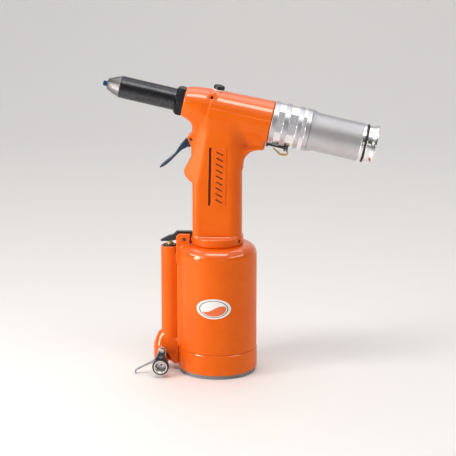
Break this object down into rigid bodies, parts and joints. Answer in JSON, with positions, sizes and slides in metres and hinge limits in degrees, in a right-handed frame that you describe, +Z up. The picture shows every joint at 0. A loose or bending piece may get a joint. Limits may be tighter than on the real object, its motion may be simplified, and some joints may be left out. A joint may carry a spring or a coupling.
{
  "type": "pneumatic rivet gun",
  "caption": "Hydro-pneumatic blind rivet gun: tilted pulling head with nose barrel and mandrel collector on a trigger handle above an upright air cylinder.",
  "frame": {"origin": "centre of the base's round resting face", "axes": "+Z up along the air cylinder and handle; the nose points to -X, the mandrel collector to +X; the air inlet faces -Y"},
  "size_m": [0.2741, 0.0799, 0.2998],
  "materials": {
    "orange_enamel": "gloss enamel over a casting",
    "black_oxide": "oil-black, satin",
    "dark_steel": "ground, satin",
    "bright_steel": "ground",
    "chrome_trigger": "polished, blue-grey",
    "nickel": "nickel plate",
    "polished_aluminium": "turned and polished",
    "satin_aluminium": "satin anodised",
    "brass": "turned",
    "rubber": "matt",
    "base_rubber": "moulded grey",
    "black_enamel": "semi-gloss black",
    "nylon_white": "moulded washer",
    "badge": "printed blank oval"
  },
  "bodies": {
    "tool_body": {"base_pad": "base_rubber", "cylinder_cap": "orange_enamel", "cap_seal": "rubber", "air_cylinder": "orange_enamel", "ram_gland": "brass", "cylinder_ring_nut": "dark_steel", "body_casting": "orange_enamel", "grip_panels": "orange_enamel", "oval_badge": "badge", "collar_set_screw": "black_oxide", "trigger_pin": "black_oxide", "rocker_pin": "black_oxide", "valve_bush": "black_oxide", "valve_spring": "bright_steel", "nosepiece": "dark_steel", "nose_cone": "dark_steel", "barrel": "black_oxide", "lock_nut": "black_oxide", "front_gland": "brass", "gland_seals": "rubber", "return_spring": "bright_steel", "rear_gland": "brass", "collector_adapter": "satin_aluminium", "oil_plug": "black_enamel", "oil_plug_washer": "nylon_white", "vacuum_valve_body": "black_enamel", "vacuum_valve_pin": "bright_steel", "inlet_elbow": "nickel", "elbow_seal": "rubber"},
    "trigger": {"trigger": "chrome_trigger"},
    "pull_rod": {"trigger_rod": "bright_steel"},
    "rocker": {"valve_rocker": "black_enamel"},
    "spool": {"valve_spool": "brass", "spool_seals": "rubber"},
    "air_ram": {"air_piston": "satin_aluminium", "air_piston_seal": "rubber", "ram_rod": "bright_steel", "ram_nut": "dark_steel"},
    "puller": {"pull_piston": "bright_steel", "pull_piston_seal": "rubber", "jaw_case": "dark_steel", "jaw_spring": "bright_steel"},
    "jaw_set": {"jaws": "dark_steel", "jaw_pusher": "bright_steel"},
    "inlet_swivel": {"inlet_nut": "black_oxide", "inlet_connector": "nickel", "inlet_strainer": "bright_steel"},
    "shutoff": {"shutoff_plug": "nickel", "shutoff_lever": "bright_steel"},
    "ring": {"vacuum_ring": "polished_aluminium"},
    "collector": {"collector_tube": "satin_aluminium"},
    "collector_end": {"collector_cap": "polished_aluminium", "cap_o_ring": "rubber"},
    "vacuum_lever": {"vacuum_valve_lever": "brass"}
  },
  "joints": [
    {"name": "trigger_pull", "type": "hinge", "parent": "tool_body", "child": "trigger", "pos_m": [-0.0252, 0, 0.2388], "axis": [0, -1, 0], "range_deg": [0, 14], "stiffness_Nm_per_rad": 1},
    {"name": "rod_lift", "type": "slide", "parent": "tool_body", "child": "pull_rod", "axis": [0, 0, 1], "range_m": [0, 0.0019]},
    {"name": "rocker_tilt", "type": "hinge", "parent": "tool_body", "child": "rocker", "pos_m": [-0.033, 0, 0.1366], "axis": [0, -1, 0], "range_deg": [0, 7.2]},
    {"name": "spool_press", "type": "slide", "parent": "tool_body", "child": "spool", "axis": [0, 0, -1], "range_m": [0, 0.0019], "deforming": ["valve_spring"]},
    {"name": "air_piston_lift", "type": "slide", "parent": "tool_body", "child": "air_ram", "axis": [0, 0, 1], "range_m": [0, 0.056], "stiffness_N_per_m": 250},
    {"name": "pull_stroke", "type": "slide", "parent": "tool_body", "child": "puller", "axis": [0.9763, 0, -0.2164], "range_m": [0, 0.017], "deforming": ["return_spring"]},
    {"name": "jaw_close", "type": "slide", "parent": "puller", "child": "jaw_set", "axis": [-0.9763, 0, 0.2164], "range_m": [0, 0.0012], "deforming": ["jaw_spring"]},
    {"name": "inlet_turn", "type": "hinge", "parent": "tool_body", "child": "inlet_swivel", "pos_m": [-0.0547, -0.03, 0.0116], "axis": [0, -1, 0], "continuous": true},
    {"name": "shutoff_turn", "type": "hinge", "parent": "tool_body", "child": "shutoff", "pos_m": [-0.0547, -0.023, 0.0234], "axis": [0, 1, 0], "range_deg": [0, 90]},
    {"name": "ring_turn", "type": "hinge", "parent": "tool_body", "child": "ring", "pos_m": [0.07225, 0, 0.25198], "axis": [0.9763, 0, -0.2164], "range_deg": [0, 60]},
    {"name": "collector_pull", "type": "slide", "parent": "tool_body", "child": "collector", "axis": [0.9763, 0, -0.2164], "range_m": [0, 0.0135]},
    {"name": "cap_pull", "type": "slide", "parent": "collector", "child": "collector_end", "axis": [0.9763, 0, -0.2164], "range_m": [0, 0.0075]},
    {"name": "vacuum_lever_tilt", "type": "hinge", "parent": "tool_body", "child": "vacuum_lever", "pos_m": [0.06795, 0, 0.22846], "axis": [0, -1, 0], "range_deg": [0, 35]}
  ],
  "couplings": [
    {"joint": "rod_lift", "follows": "trigger_pull", "m_per_rad": 0.007776},
    {"joint": "rocker_tilt", "follows": "trigger_pull", "ratio": 0.51429},
    {"joint": "spool_press", "follows": "trigger_pull", "m_per_rad": 0.007776},
    {"joint": "pull_stroke", "follows": "air_piston_lift", "ratio": 0.30357}
  ]
}
